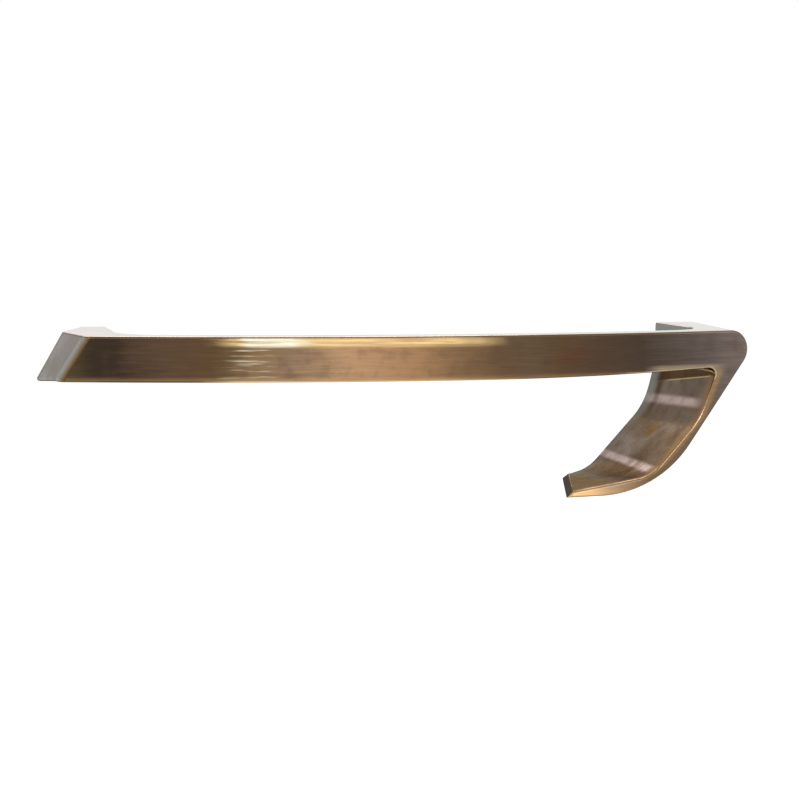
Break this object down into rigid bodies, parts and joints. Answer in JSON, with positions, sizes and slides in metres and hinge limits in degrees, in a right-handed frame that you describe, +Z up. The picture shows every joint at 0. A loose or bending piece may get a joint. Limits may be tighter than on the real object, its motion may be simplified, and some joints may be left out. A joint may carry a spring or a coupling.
{
  "type": "arch pull",
  "caption": "Bowed cabinet pull cast in one piece, with a slanted end, a leg at each end and a claw-shaped blade curling down from the right leg.",
  "frame": {"origin": "midway between the two screw holes, on the cabinet face", "axes": "+Y into the cabinet, square to its face; +X along the grip towards the claw end; +Z up"},
  "size_m": [0.1457, 0.0335, 0.0336],
  "materials": {
    "bronzed_brass": "brushed antique bronze, worn bright on the edges"
  },
  "bodies": {
    "root": {"arch_pull": "bronzed_brass"}
  },
  "joints": []
}
